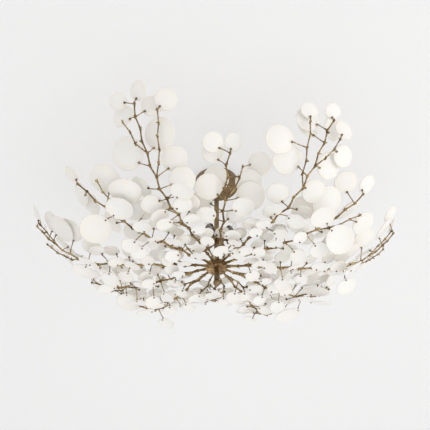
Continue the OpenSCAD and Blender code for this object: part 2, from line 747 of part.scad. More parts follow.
module sprig_petals() {
    color(porcelain) for (list = grow_sprigs()) for (s = list) petal(s);
}

// Half of the studs: those of six branches and of the six sprigs beside them
module petal_studs(half) {
    sprigs = grow_sprigs();
    first = half == 1 ? 0 : branch_count / 2;
    last = first + branch_count / 2 - 1;
    color(brass) {
        for (b = [first:last]) for (s = sprigs[b]) petal_stud(s);
        for (b = [first:last]) for (s = grow_one(b, sprigs)) petal_stud(s);
    }
}

module petal_nuts() {
    sprigs = grow_sprigs();
    color(brass) for (list = concat(sprigs, grow_branches(sprigs))) for (s = list) petal_nut(s);
}

ceiling_bracket();
bracket_nut();
top_nipple();
canopy();
canopy_collar();
terminal_block();
terminal_screws();
earth_screw();
inner_cable();
stem_bushes();
upper_stem();
lamp_drum();
drum_lid();
lamp_arms();
arm_leads();
lamp_cups();
lampholders();
for (i = [1:lamp_count]) bulb(i);
tie_rod();
lower_stem();
branch_hub();
tail_tube();
ball_finial();
for (i = [1:branch_count]) branch(i);
for (i = [1:branch_count]) petals(i);
sprigs();
sprig_petals();
for (half = [1, 2]) petal_studs(half);
petal_nuts();
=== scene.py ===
# %% [markdown]
# # A ceiling light of brass twigs and porcelain petals
#
# The real light is a shallow bowl of cast brass twigs. Every twig ends in a small turned stud,
# and every stud holds one round porcelain petal a few millimetres thick. The exact model is
# loaded first. It gives the size and place of every piece, so nothing here is fitted by eye.

# %% The exact model
import json
import math
import random

import bmesh
import bpy
import numpy as np
from mathutils import Matrix, Vector, kdtree


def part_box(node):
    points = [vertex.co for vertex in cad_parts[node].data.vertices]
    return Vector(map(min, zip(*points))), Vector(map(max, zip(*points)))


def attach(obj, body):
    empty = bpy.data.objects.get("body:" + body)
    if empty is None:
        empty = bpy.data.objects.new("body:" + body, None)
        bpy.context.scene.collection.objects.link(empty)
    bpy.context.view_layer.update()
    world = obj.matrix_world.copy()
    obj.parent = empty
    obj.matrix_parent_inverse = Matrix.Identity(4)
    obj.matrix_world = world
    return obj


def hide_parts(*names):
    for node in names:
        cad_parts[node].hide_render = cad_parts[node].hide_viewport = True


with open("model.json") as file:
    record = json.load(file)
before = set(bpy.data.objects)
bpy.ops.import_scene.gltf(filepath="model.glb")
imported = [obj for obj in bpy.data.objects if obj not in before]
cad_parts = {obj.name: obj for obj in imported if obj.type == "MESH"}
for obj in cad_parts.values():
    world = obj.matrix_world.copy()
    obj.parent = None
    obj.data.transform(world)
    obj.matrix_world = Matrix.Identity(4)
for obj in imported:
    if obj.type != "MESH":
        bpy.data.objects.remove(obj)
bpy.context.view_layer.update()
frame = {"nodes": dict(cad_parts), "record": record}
nodes = frame["nodes"]
LIGHT_BODY = "light"

# %% [markdown]
# ## Small helpers
#
# An operator works on everything that is selected, and the loaded nodes start out selected. So
# each step begins by clearing the selection, and a finished modifier is applied at once.

# %% Selecting and applying
random.seed(7)


def clear_selection():
    """Leaves edit mode and selects nothing."""
    if bpy.context.mode != "OBJECT":
        bpy.ops.object.mode_set(mode="OBJECT")
    bpy.ops.object.select_all(action="DESELECT")


def added():
    """The piece that the last primitive made, opened for editing with all of it selected."""
    piece = bpy.context.active_object
    bpy.ops.object.mode_set(mode="EDIT")
    bpy.ops.mesh.select_all(action="SELECT")
    return piece


def close_editing(piece):
    """Leaves edit mode and puts the piece's place and size into its mesh."""
    bpy.ops.object.mode_set(mode="OBJECT")
    bpy.ops.object.transform_apply(location=True, rotation=True, scale=True)
    return piece


def pick_ring(piece, low, high):
    """In edit mode, selects the edges whose middles lie between two distances from the axis."""
    bpy.ops.mesh.select_mode(type="EDGE")
    bpy.ops.mesh.select_all(action="DESELECT")
    shape = bmesh.from_edit_mesh(piece.data)
    for e in shape.edges:
        middle = (e.verts[0].co + e.verts[1].co) / 2
        e.select = low < middle.xy.length < high
    shape.select_flush_mode()
    bmesh.update_edit_mesh(piece.data)


def apply_modifier(piece, kind, **settings):
    """Adds a modifier with its settings and applies it."""
    clear_selection()
    piece.select_set(True)
    bpy.context.view_layer.objects.active = piece
    modifier = piece.modifiers.new(kind.lower(), kind)
    for name, value in settings.items():
        setattr(modifier, name, value)
    bpy.ops.object.modifier_apply(modifier=modifier.name)


def placed_copy(pattern, matrix, tone):
    """A copy of a pattern with its own mesh, put in place, and with one tone of its own."""
    mesh = pattern.data.copy()
    mesh.transform(matrix)
    copy = bpy.data.objects.new(pattern.name + "_copy", mesh)
    bpy.context.scene.collection.objects.link(copy)
    attribute = mesh.attributes.new("tone", "FLOAT", "POINT")
    attribute.data.foreach_set("value", np.full(len(mesh.vertices), tone, np.float32))
    return copy


def joined(copies, name, material):
    """One piece from many copies."""
    clear_selection()
    for copy in copies:
        copy.select_set(True)
    bpy.context.view_layer.objects.active = copies[0]
    if len(copies) > 1:
        bpy.ops.object.join()
    piece = bpy.context.active_object
    piece.name = name
    piece.data.name = name
    piece.data.materials.clear()
    piece.data.materials.append(material)
    return piece


def any_direction(rise=1):
    """A random direction, flatter where rise is under 1."""
    return Vector((random.gauss(0, 1), random.gauss(0, 1), random.gauss(0, rise)))


def frame_at(place, x, z, sizes=(1, 1, 1)):
    """The matrix that takes a pattern's own X and Z onto two directions at a place."""
    z = z.normalized()
    x = (x - x.dot(z) * z).normalized()
    y = z.cross(x)
    turn = Matrix((x, y, z)).transposed().to_4x4()
    return Matrix.Translation(place) @ turn @ Matrix.Diagonal((*sizes, 1))


# %% [markdown]
# ## The camera
#
# The photograph looks up at the light from below and in front. The ball at the bottom lies
# 1.825 m away and 34 degrees above the horizon. The lens sees 39.4 degrees.

# %% Camera
BALL = Vector((0, 0, -0.4185))
VIEW_RISE = math.radians(34)
TILT_UP = math.radians(40.45)
PAN = math.radians(0.2)
DISTANCE = 1.825
SENSOR = 36
FOCUS_IN_PIXELS = 600
HALF_PICTURE = 215
camera_data = bpy.data.cameras.new("camera")
camera = bpy.data.objects.new("camera", camera_data)
bpy.context.scene.collection.objects.link(camera)
camera_data.sensor_width = SENSOR
camera_data.lens = SENSOR / 2 * FOCUS_IN_PIXELS / HALF_PICTURE
camera.location = BALL + DISTANCE * Vector((0, -math.cos(VIEW_RISE), -math.sin(VIEW_RISE)))
camera.rotation_euler = (math.pi / 2 + TILT_UP, 0, PAN)
bpy.context.scene.camera = camera
print("camera at", [round(c, 3) for c in camera.location])

# %% [markdown]
# ## Shader maths
#
# A material is written as sums and products of patterns. The class below wraps one output, so
# that an expression such as 1 - mask adds the node that works it out.

# %% Node helper


class Wire:
    """One output in a material, on which + - and * add Math nodes."""

    def __init__(self, finish, socket):
        self.finish = finish
        self.socket = socket

    def _math(self, operation, a, b):
        return self.finish.node("ShaderNodeMath", {"operation": operation}, {0: a, 1: b})

    def __add__(self, other):
        return self._math("ADD", self, other)

    def __radd__(self, other):
        return self._math("ADD", other, self)

    def __sub__(self, other):
        return self._math("SUBTRACT", self, other)

    def __rsub__(self, other):
        return self._math("SUBTRACT", other, self)

    def __mul__(self, other):
        return self._math("MULTIPLY", self, other)

    def __rmul__(self, other):
        return self._math("MULTIPLY", other, self)

class Finish:
    """A material and the one way its nodes are made."""

    def __init__(self, name):
        self.material = bpy.data.materials.new(name)
        self.material.use_nodes = True
        self.tree = self.material.node_tree
        self.shader = self.tree.nodes["Principled BSDF"]

    def node(self, kind, settings=None, inputs=None, output=0):
        made = self.tree.nodes.new(kind)
        for name, value in (settings or {}).items():
            if name == "stops":
                for stop, (place, colour) in zip(self._stops(made, len(value)), value):
                    stop.position = place
                    stop.color = (*colour, 1)
            else:
                setattr(made, name, value)
        for name, value in (inputs or {}).items():
            if isinstance(value, Wire):
                self.tree.links.new(value.socket, made.inputs[name])
            else:
                made.inputs[name].default_value = value
        return Wire(self, made.outputs[output])

    @staticmethod
    def _stops(ramp, count):
        while len(ramp.color_ramp.elements) < count:
            ramp.color_ramp.elements.new(0.5)
        return ramp.color_ramp.elements

    def place(self, scale=(1, 1, 1)):
        raw = self.node("ShaderNodeTexCoord", output="Object")
        return self.node("ShaderNodeMapping", None, {"Vector": raw, "Scale": scale})

    def noise(self, place, scale, detail=3, rough=0.5):
        return self.node("ShaderNodeTexNoise", None,
                         {"Vector": place, "Scale": scale, "Detail": detail, "Roughness": rough})

    def attribute(self, name):
        return self.node("ShaderNodeAttribute", {"attribute_name": name}, output="Fac")

    def ramp(self, factor, stops):
        return self.node("ShaderNodeValToRGB", {"stops": stops}, {"Fac": factor})

    def mix(self, factor, a, b):
        made = self.tree.nodes.new("ShaderNodeMix")
        made.data_type = "RGBA"
        made.clamp_factor = True
        for socket, value in zip((made.inputs[0], made.inputs[6], made.inputs[7]), (factor, a, b)):
            if isinstance(value, Wire):
                self.tree.links.new(value.socket, socket)
            elif socket is made.inputs[0]:
                socket.default_value = value
            else:
                socket.default_value = (*value, 1)
        return Wire(self, made.outputs[2])

    def bump(self, height, strength, distance, under=None):
        inputs = {"Height": height, "Strength": strength, "Distance": distance}
        if under:
            inputs["Normal"] = under
        return self.node("ShaderNodeBump", None, inputs)

    def set(self, **values):
        for name, value in values.items():
            socket = self.shader.inputs[name.replace("_", " ")]
            if isinstance(value, Wire):
                self.tree.links.new(value.socket, socket)
            else:
                socket.default_value = value


# %% [markdown]
# ## Porcelain
#
# The petals are thin bisque porcelain with a soft satin skin. The clay is a warm white that
# wanders a little from petal to petal, with fine specks, and a warm cream shade is painted along
# the rim. The skin waves gently, because each petal was pressed by hand.

# %% Porcelain material
porcelain = Finish("porcelain_bisque")
clay = porcelain.place()
cloud = porcelain.noise(clay, 14, 3)
speck = porcelain.noise(clay, 900, 2)
tone = porcelain.attribute("tone")
rim = porcelain.attribute("rim")
body_colour = porcelain.mix(cloud * 0.5 + tone * 0.5, (0.90, 0.875, 0.83), (0.93, 0.925, 0.905))
# Painted shade: the rim is tinted a darker warm cream, standing in for the soft shading along the
# petals' edges.
body_colour = porcelain.mix(rim * 0.5, body_colour, (0.88, 0.84, 0.77))
body_colour = porcelain.mix((speck - 0.62) * 1.6, body_colour, (0.72, 0.66, 0.58))
wave = porcelain.bump(porcelain.noise(clay, 55, 2), 0.25, 0.0008)
grain = porcelain.bump(speck, 0.08, 0.0002, wave)
porcelain.set(Base_Color=body_colour, Roughness=0.5 + 0.16 * (cloud - 0.5), Normal=grain)
porcelain.set(Coat_Weight=0.12, Coat_Roughness=0.3, IOR=1.5, Subsurface_Weight=0.3,
              Subsurface_Radius=(1.0, 0.8, 0.6), Subsurface_Scale=0.004)
print("porcelain ready")

# %% [markdown]
# ## Antique brass
#
# The brass was blackened and rubbed back by hand: dark umber stays in the hollows, and golden
# metal shows on the ridges. One function makes every brass of the light, with its own colours
# and grain, because the twigs, the hub and the turned tubes were patinated apart.

# %% Brass materials


def brass(name, dark, middle, bright, grain, stretch=(1, 1, 1), rough=0.42, lift=0.0006):
    """A patinated brass: three colours, the scale and stretch of its grain, and its relief."""
    finish = Finish(name)
    place = finish.place(stretch)
    patches = finish.noise(finish.place(), 26, 4, 0.6)
    fibre = finish.noise(place, grain, 5, 0.65)
    pits = finish.noise(place, grain * 6, 2)
    mask = patches * 0.45 + fibre * 0.55
    colour = finish.ramp(mask, [(0.40, dark), (0.5, middle), (0.60, bright)])
    relief = finish.bump(fibre, 0.7, lift)
    relief = finish.bump(pits, 0.25, lift * 0.4, relief)
    finish.set(Base_Color=colour, Metallic=0.92 - 0.125 * (1 - mask),
               Roughness=rough + 0.22 * (0.55 - mask), Normal=relief)
    return finish.material


twig_brass = brass("twig_brass_patina", (0.085, 0.050, 0.018), (0.27, 0.178, 0.074),
                   (0.60, 0.45, 0.23), 170, (1, 1, 1), 0.4, 0.0009)
hub_brass = brass("hub_brass_patina", (0.12, 0.066, 0.028), (0.29, 0.18, 0.080),
                  (0.54, 0.37, 0.19), 120, (1, 1, 1), 0.38)
turned_brass = brass("turned_brass_patina", (0.15, 0.10, 0.050), (0.225, 0.155, 0.082),
                     (0.36, 0.26, 0.145), 60, (9, 9, 0.8), 0.36, 0.0002)
nut_brass = brass("nut_brass_patina", (0.10, 0.066, 0.030), (0.22, 0.15, 0.070),
                  (0.42, 0.30, 0.15), 300, (1, 1, 1), 0.4, 0.0002)
print("four kinds of brass ready")

# %% Plain finishes


def plain(name, colour, metallic, rough, grain, spread=0.06):
    """A finish of one colour that still wanders a little in tone, roughness and relief."""
    finish = Finish(name)
    patches = finish.noise(finish.place(), grain, 3)
    darker = tuple(c * (1 - 2 * spread) for c in colour)
    finish.set(Base_Color=finish.mix(patches, darker, colour), Metallic=metallic,
               Roughness=rough + 0.15 * (patches - 0.5), Normal=finish.bump(patches, 0.3, 0.0002))
    return finish.material


zinc = plain("zinc_plate", (0.60, 0.61, 0.63), 1.0, 0.34, 400)
screw_brass = plain("bright_brass", (0.72, 0.55, 0.24), 1.0, 0.25, 300)
terminal = plain("terminal_plastic", (0.80, 0.78, 0.72), 0.0, 0.5, 200)
sheath = plain("cable_sheath", (0.74, 0.72, 0.68), 0.0, 0.6, 150)
steatite = plain("steatite", (0.86, 0.85, 0.81), 0.0, 0.62, 500, 0.03)

FINISHES = {
    "twig_brass": twig_brass, "hub_brass": hub_brass, "stem_brass": turned_brass,
    "nut_brass": nut_brass, "screw_brass": screw_brass, "zinc_steel": zinc,
    "porcelain": porcelain.material, "terminal_plastic": terminal, "cable_sheath": sheath,
    "holder_ceramic": steatite,
}
slot_of = {row["node"]: row["material_slot"] for row in frame["record"]["subparts"]}
for name, node in nodes.items():
    if slot_of[name] in FINISHES:
        node.data.materials.clear()
        node.data.materials.append(FINISHES[slot_of[name]])
print("finishes laid on", sum(slot_of[n] in FINISHES for n in nodes), "nodes")

# %% [markdown]
# ## Reading the exact petals
#
# Each petal of the exact model is one closed cap. Its loose triangles are merged in a copy, the
# caps are told apart by which vertices hang together, and each cap's middle, radius and axis are
# measured from its vertices. The studs are measured in the same way.

# %% Measuring loose solids
MERGE = 1e-6
RIM_DEPTH = 0.0025
CENTRING_STEPS = 200
FOOT_EDGE = 0.0027
HALF_FLAT = math.radians(22.5)


def solids_of(name):
    """The vertices of each separate solid of a node, as arrays."""
    shape = bmesh.new()
    shape.from_mesh(nodes[name].data)
    bmesh.ops.remove_doubles(shape, verts=shape.verts, dist=MERGE)
    shape.verts.ensure_lookup_table()
    seen = set()
    found = []
    for start in shape.verts:
        if start.index in seen:
            continue
        seen.add(start.index)
        stack, members = [start], []
        while stack:
            v = stack.pop()
            members.append(v.co[:])
            for e in v.link_edges:
                other = e.other_vert(v)
                if other.index not in seen:
                    seen.add(other.index)
                    stack.append(other)
        found.append(np.array(members))
    shape.free()
    return found


def ring_through(points):
    """Middle, axis and radius of the circle that fits a ring of points."""
    mean = points.mean(0)
    across, along, axis = np.linalg.svd(points - mean, full_matrices=False)[2]
    flat = np.column_stack(((points - mean) @ across, (points - mean) @ along))
    rows = np.column_stack((2 * flat, np.ones(len(flat))))
    x, y, rest = np.linalg.lstsq(rows, (flat ** 2).sum(1), rcond=None)[0]
    return mean + x * across + y * along, axis, math.sqrt(rest + x * x + y * y)


def measure_petal(points):
    """Middle of the rim, axis towards the hollow side, and radius of one cap."""
    middle = points.mean(0)
    for step in range(1, CENTRING_STEPS):
        far = np.linalg.norm(points - middle, axis=1)
        middle = middle + (points[far.argmax()] - middle) / (step + 1)
    far = np.linalg.norm(points - middle, axis=1)
    on_rim = far > far.max() - RIM_DEPTH
    middle, axis, radius = ring_through(points[on_rim])
    if ((points[~on_rim] - middle) @ axis).sum() > 0:
        axis = -axis
    return Vector(middle), Vector(axis), radius


def measure_stud(points):
    """Middle of the ball foot and the direction of the pin."""
    axis = np.linalg.svd(points - points.mean(0), full_matrices=False)[2][0]
    along = (points - points.mean(0)) @ axis
    side = np.linalg.norm((points - points.mean(0)) - np.outer(along, axis), axis=1)
    third = (along.max() - along.min()) / 3
    if side[along > along.max() - third].max() > side[along < along.min() + third].max():
        axis, along = -axis, -along
    foot = points.mean(0) + axis * (along.min() + FOOT_EDGE * math.cos(HALF_FLAT))
    return Vector(foot), Vector(axis)


caps = {name: [measure_petal(p) for p in solids_of(name)]
        for name in nodes if name.startswith("petals_") or name == "sprig_petals"}
studs = [measure_stud(p) for name in ("petal_studs_1", "petal_studs_2") for p in solids_of(name)]
radii = sorted(r for row in caps.values() for _, _, r in row)
print(len(radii), "petals of radius", round(radii[0], 4), "to", round(radii[-1], 4))
print(len(studs), "studs")

# %% [markdown]
# ## The petals
#
# A real petal is pressed from a flat disc: a shallow dome, 2.6 mm thick, with a rounded rim that
# is never quite a circle. A disc is inset and poked, its outer edge is pulled down in two steps
# to make the rim, and the dome is given last, so that it stays exact at every size.

# %% Petal pattern
PETAL_THICK = 0.0026
DOME = 0.170
RIM_RUN = 0.0013
INSET_SHARE = 0.45
FLAT_SHARE = 0.93
SIZES = [0.0205 + 0.0036 * k for k in range(9)]
LARGE = 0.03


def petal_pattern(radius, sides):
    """One petal round the origin, its hollow side up and the middle of its rim at z = 0."""
    clear_selection()
    half = PETAL_THICK / 2
    inner = radius - RIM_RUN
    bpy.ops.mesh.primitive_circle_add(vertices=sides, radius=inner, fill_type="NGON",
                                      location=(0, 0, half))
    piece = added()
    bpy.ops.mesh.inset(thickness=inner * INSET_SHARE)
    bpy.ops.mesh.poke()
    pick_ring(piece, inner * FLAT_SHARE, radius)
    bpy.ops.mesh.extrude_region_move(TRANSFORM_OT_translate={"value": (0, 0, -half)})
    bpy.ops.transform.resize(value=(radius / inner, radius / inner, 1))
    bpy.ops.mesh.extrude_region_move(TRANSFORM_OT_translate={"value": (0, 0, -half)})
    bpy.ops.transform.resize(value=(inner / radius, inner / radius, 1))
    bpy.ops.mesh.edge_face_add()
    bpy.ops.mesh.inset(thickness=inner * INSET_SHARE)
    bpy.ops.mesh.poke()
    pick_ring(piece, inner * FLAT_SHARE, inner * 1.001)
    bpy.ops.mesh.mark_sharp()
    bpy.ops.mesh.select_all(action="SELECT")
    bpy.ops.mesh.normals_make_consistent(inside=False)
    close_editing(piece)
    bpy.ops.object.shade_smooth()
    lobes = [(k, random.uniform(0.002, 0.009), random.uniform(0, math.tau)) for k in (2, 3, 5)]
    on_rim = []
    for v in piece.data.vertices:
        far = v.co.xy.length
        on_rim.append(1.0 if far > inner * 0.99 else 0.0)
        turn = math.atan2(v.co.y, v.co.x)
        swell = 1 + sum(size * math.sin(k * turn + start) for k, size, start in lobes)
        v.co.z += (far * far - radius * radius) / (2 * DOME)
        v.co.x *= swell
        v.co.y *= swell
    # The rim flag marks where the porcelain paints its warm rim shade.
    attribute = piece.data.attributes.new("rim", "FLOAT", "POINT")
    attribute.data.foreach_set("value", on_rim)
    piece.data.materials.append(porcelain.material)
    return piece


patterns = [petal_pattern(size, 20 if size > LARGE else 16) for size in SIZES]
print(len(patterns), "petal sizes of", len(patterns[0].data.polygons), "to",
      len(patterns[-1].data.polygons), "faces")

# %% [markdown]
# Each copy takes the size nearest to its cap and is stretched to its radius, a hair inside it. It
# is turned round its own axis at random, and a tone of its own tells the porcelain how warm it is.

# %% Petals on every branch
SHRINK = 0.996
for name, rows in caps.items():
    copies = []
    for middle, axis, radius in rows:
        nearest = min(range(len(SIZES)), key=lambda k: abs(SIZES[k] - radius))
        size = radius / SIZES[nearest] * SHRINK
        matrix = frame_at(middle, any_direction(), axis, (size, size, 1))
        copies.append(placed_copy(patterns[nearest], matrix, random.random()))
    piece = joined(copies, name.replace("petals", "porcelain") + "_set", porcelain.material)
    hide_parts(name)
    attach(piece, LIGHT_BODY)
for pattern in patterns:
    bpy.data.objects.remove(pattern)
print(len(caps), "sets of petals")

# %% [markdown]
# ## The plan of the branches
#
# The exact model lays its branches out by a rule: twelve directions, four kinds of branch, and
# knots about 33 mm apart that zigzag a little. The same rule is written here once more, in
# metres, so that rounded twigs can follow the same knots.

# %% Rule of the branches
BRANCHES = range(12)
SPRIGS = range(12, 24)
SPACING = 30
PLAN_TURN = 4
HUB_DROP, HUB_HIGH, HUB_WIDE, SOCKET = 0.360, 0.026, 0.064, 0.011
KNOT_PITCH, ZIGZAG, FIRST_KNOT = 0.033, 0.0035, 0.066
RISE_RUN, FORK_STEP = 0.262, 0.012
SPRIG_REACH, SPRIG_THICK = 0.138, 0.0046
ROD_THICK, TIP_THICK = 0.007, 0.004
FORK_THIN = 0.82
REACHES = (0.375, 0.545, 0.485, 0.600)
RISES = (0.118, 0.188, 0.084, 0.172)


def chance(a, b):
    """A repeatable number from 0 to 1 for two whole numbers, as the exact model works it out."""
    value = abs(math.sin(math.radians(a * 57.29 + b * 131.7)) * 4375.85)
    return value - math.floor(value)


def of_kind(b, values):
    """The value of a branch's kind: short, long, middle, wide, middle, long, and again."""
    short, long, middle, wide = values
    return (short, long, middle, wide, middle, long)[b % 6]


def azimuth(b):
    """Direction in degrees: the sprigs lie between the branches, and the branches wander."""
    if b in SPRIGS:
        return SPACING * (b - SPRIGS.start + 0.5) + PLAN_TURN
    return SPACING * b + PLAN_TURN + 3 * math.sin(math.radians(b * 110 + 20))


def reach(b):
    """Distance of a branch's tip from the axis."""
    return SPRIG_REACH if b in SPRIGS else of_kind(b, REACHES)


def lift(b):
    """How far a branch's tip rises above the hub."""
    return 0 if b in SPRIGS else of_kind(b, RISES)


def turn_up(b):
    """Where the flat bowl turns into a parabola."""
    return SPRIG_REACH if b in SPRIGS else reach(b) - RISE_RUN


def slope(b, r):
    """Rise per metre outwards."""
    return max(0, 2 * lift(b) * (r - turn_up(b)) / RISE_RUN ** 2)


def knot(b, r, side):
    """Place of a knot, and the direction of its stem there."""
    turn = math.radians(azimuth(b)) + side / r
    base = -HUB_DROP + (HUB_HIGH / 4 if b in BRANCHES else -HUB_HIGH / 4)
    height = base + lift(b) * (max(0, r - turn_up(b)) / RISE_RUN) ** 2
    ahead = Vector((math.sin(turn), -math.cos(turn), slope(b, r))).normalized()
    return Vector((r * math.sin(turn), -r * math.cos(turn), height)), ahead, r


def knot_radii(b, start, end):
    """Distances of a stem's knots from the axis, one pitch apart along the bowl."""
    radii = []
    while start < end:
        radii.append(start)
        start += KNOT_PITCH / math.sqrt(1 + slope(b, start) ** 2)
    return radii


def zig(b, k):
    """Sideways shift of a knot, to the left and to the right in turn."""
    return (1 if k % 2 == 0 else -1) * ZIGZAG * (0.5 + chance(b + 3, k))


def main_stem(b):
    """Knots from inside the hub's socket to the branch's tip."""
    radii = knot_radii(b, FIRST_KNOT, reach(b))
    start = HUB_WIDE / 2 - SOCKET + 0.001
    sides = [0] + [zig(b, k) for k in range(1, len(radii))]
    return [knot(b, start, 0)] + [knot(b, r, side) for r, side in zip(radii, sides)]


def fork(b, main, at, lean):
    """A side stem that leaves the main one at a knot and leans away from it."""
    hand = 1 if lean > 0 else -1
    radii = knot_radii(b, main[at][2], reach(b) * 0.97)
    sides = [zig(b, at - 1) + hand * FORK_STEP + lean * k * KNOT_PITCH + zig(b, k) * 0.6
             for k in range(len(radii))]
    return [main[at]] + [knot(b, radii[k], sides[k]) for k in range(1, len(radii))]


def stems(b):
    """The main stem with one or two forks, counted back from its tip. A sprig has none."""
    main = main_stem(b)
    count = len(main)
    lean = 0.27 + 0.08 * chance(b, 77)
    hand = 1 if b % 4 < 2 else -1
    if b in SPRIGS:
        return [main]
    if b % 2 == 1:
        return [main, fork(b, main, count - 7, -hand * lean), fork(b, main, count - 5, hand * lean)]
    if b % 6 == 0:
        return [main, fork(b, main, count - 5, hand * lean)]
    return [main, fork(b, main, count - 6, -hand * lean)]


def rod_radius(b, r, forked):
    """The rods grow thinner from the hub to the tips."""
    if b in SPRIGS:
        return SPRIG_THICK / 2
    share = min(1, max(0, (r - FIRST_KNOT) / (reach(b) - FIRST_KNOT)))
    return (ROD_THICK + (TIP_THICK - ROD_THICK) * share) / 2 * (FORK_THIN if forked else 1)


plan = {b: stems(b) for b in [*BRANCHES, *SPRIGS]}
print(sum(len(s) for rows in plan.values() for s in rows), "knots on",
      sum(map(len, plan.values())), "stems")

# %% [markdown]
# ## Twigs
#
# The stems are cast from real twigs, so they have swollen knots, a slight waist between them,
# and bark that runs along them. Four patterns are modelled once: the length between two knots,
# the knot itself, a side twig with its flared root, and a short broken stub. Copies of them
# follow the plan.

# %% Patterns of the twigs


def pulled_rod(name, sides, steps, wobble):
    """A rod of radius 1 and length 1 up Z, pulled ring by ring out of a disc.
    Each step is its height, its radius and its sideways shift."""
    clear_selection()
    height, radius, shift = steps[0]
    bpy.ops.mesh.primitive_circle_add(vertices=sides, radius=radius, fill_type="NGON",
                                      location=(shift, 0, height))
    piece = added()
    piece.name = name
    for next_height, next_radius, next_shift in steps[1:]:
        move = (next_shift - shift, 0, next_height - height)
        bpy.ops.mesh.extrude_region_move(TRANSFORM_OT_translate={"value": move})
        bpy.ops.transform.resize(value=(next_radius / radius, next_radius / radius, 1))
        height, radius, shift = next_height, next_radius, next_shift
    bpy.ops.mesh.select_all(action="SELECT")
    bpy.ops.mesh.normals_make_consistent(inside=False)
    close_editing(piece)
    for v in piece.data.vertices:
        grow = 1 + random.uniform(-wobble, wobble)
        v.co.x *= grow
        v.co.y *= grow
    bpy.ops.object.shade_smooth()
    return piece


length_pattern = pulled_rod("between_knots", 9, [
    (-0.02, 1.12, 0), (0.12, 1.16, 0.02), (0.3, 0.97, 0.10), (0.55, 0.92, 0.16), (0.8, 0.97, 0.08),
    (1.02, 1.1, 0)], 0.05)
knot_pattern = pulled_rod("knot", 9, [
    (-1.5, 0.7, 0), (-1.1, 1.05, 0), (-0.35, 1.32, 0.04), (0.3, 1.38, 0), (0.95, 1.1, -0.04),
    (1.5, 0.72, 0)], 0.09)
twig_pattern = pulled_rod("side_twig", 7, [
    (0.0, 1.5, 0), (0.14, 1.25, 0), (0.3, 0.95, 0.25), (0.55, 0.84, 0.45), (0.8, 0.9, 0.2),
    (0.93, 1.12, 0), (1.0, 1.02, 0)], 0.07)
stub_pattern = pulled_rod("stub", 6, [
    (0.0, 1.6, 0), (0.45, 1.15, 0), (0.75, 0.95, 0.2), (0.95, 1.0, 0.1), (1.0, 0.6, 0)], 0.12)
twig_patterns = (length_pattern, knot_pattern, twig_pattern, stub_pattern)
print("twig patterns of", [len(p.data.polygons) for p in twig_patterns], "faces")

# %% Roots of the side twigs
END_REACH = 0.0034
LEAST_CORNERS = 5
SHORTEST_TWIG, LONGEST_TWIG = 0.008, 0.06


def twig_ends(node_name):
    """End point of each side twig of a node, and its direction towards the foot of its stud."""
    points = np.concatenate(solids_of(node_name))
    tree = kdtree.KDTree(len(points))
    for i, p in enumerate(points):
        tree.insert(p, i)
    tree.balance()
    found = []
    for foot, _ in studs:
        near = [Vector(co) for co, _, _ in tree.find_range(foot, END_REACH)]
        if len(near) >= LEAST_CORNERS:
            end = sum(near, Vector()) / len(near)
            found.append((end, (foot - end).normalized()))
    return found


def root_of(end, along, knots):
    """The knot from which a twig comes: the one nearest to its line."""
    found = []
    for place, _, _ in knots:
        back = (end - place).dot(along)
        if SHORTEST_TWIG < back < LONGEST_TWIG:
            found.append((((end - place) - back * along).length, place))
    return min(found, key=lambda pair: pair[0])[1]


node_of = {b: f"branch_{b + 1}" for b in BRANCHES}
ends = {name: twig_ends(name) for name in [*node_of.values(), "sprigs"]}
print(sum(len(rows) for rows in ends.values()), "side twigs found")

# %% Branches
KNOT_EXTRA, KNOT_HALF = 0.0004, 0.0042
STUB_RADIUS, TWIG_RADIUS = 0.0013, 0.0016
STUB_LENGTHS = (0.0025, 0.0065)


def stem_copies(b):
    """Lengths and knots of all stems of one branch or sprig."""
    copies = []
    for number, stem in enumerate(plan[b]):
        for k in range(len(stem) - 1):
            start, end = stem[k][0], stem[k + 1][0]
            thick = rod_radius(b, stem[k][2], number > 0)
            sizes = (thick, thick, (end - start).length)
            matrix = frame_at(start, any_direction(), end - start, sizes)
            copies.append(placed_copy(length_pattern, matrix, random.random()))
        for place, ahead, r in stem[1:]:
            thick = rod_radius(b, r, number > 0) + KNOT_EXTRA
            matrix = frame_at(place, any_direction(), ahead, (thick, thick, KNOT_HALF))
            copies.append(placed_copy(knot_pattern, matrix, random.random()))
    return copies


def stub_copies(b):
    """Short broken twigs that stand out at the knots."""
    copies = []
    for number, stem in enumerate(plan[b]):
        for place, ahead, r in stem[1:]:
            for _ in range(2 if b in BRANCHES else 1):
                turn = any_direction(0.6)
                side = (turn - turn.dot(ahead) * ahead).normalized()
                along = (side + random.uniform(0.2, 0.9) * ahead).normalized()
                length = rod_radius(b, r, number > 0) + random.uniform(*STUB_LENGTHS)
                matrix = frame_at(place, ahead, along, (STUB_RADIUS, STUB_RADIUS, length))
                copies.append(placed_copy(stub_pattern, matrix, random.random()))
    return copies


def twig_copies(rows, knots):
    """Side twigs from their knots to their studs."""
    copies = []
    for end, along in rows:
        root = root_of(end, along, knots)
        sizes = (TWIG_RADIUS, TWIG_RADIUS, (end - root).length)
        matrix = frame_at(root, any_direction(), end - root, sizes)
        copies.append(placed_copy(twig_pattern, matrix, random.random()))
    return copies


for b, name in node_of.items():
    knots = [k for stem in plan[b] for k in stem]
    copies = stem_copies(b) + stub_copies(b) + twig_copies(ends[name], knots)
    piece = joined(copies, name + "_twigs", twig_brass)
    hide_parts(name)
    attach(piece, LIGHT_BODY)
knots = [k for b in SPRIGS for k in plan[b][0]]
copies = [c for b in SPRIGS for c in stem_copies(b) + stub_copies(b)]
copies += twig_copies(ends["sprigs"], knots)
piece = joined(copies, "sprig_twigs", twig_brass)
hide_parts("sprigs")
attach(piece, LIGHT_BODY)
for pattern in twig_patterns:
    bpy.data.objects.remove(pattern)
print(len(ends), "sets of twigs")

# %% [markdown]
# ## Capsule bulbs
#
# Each lamp is a small two-pin capsule: a clear envelope that is closed by a flat pressed foot,
# with a coiled filament between two support wires, and two pins below the foot. It slides out
# of its lampholder, so its glass and its wires ride on the bulb's own body.

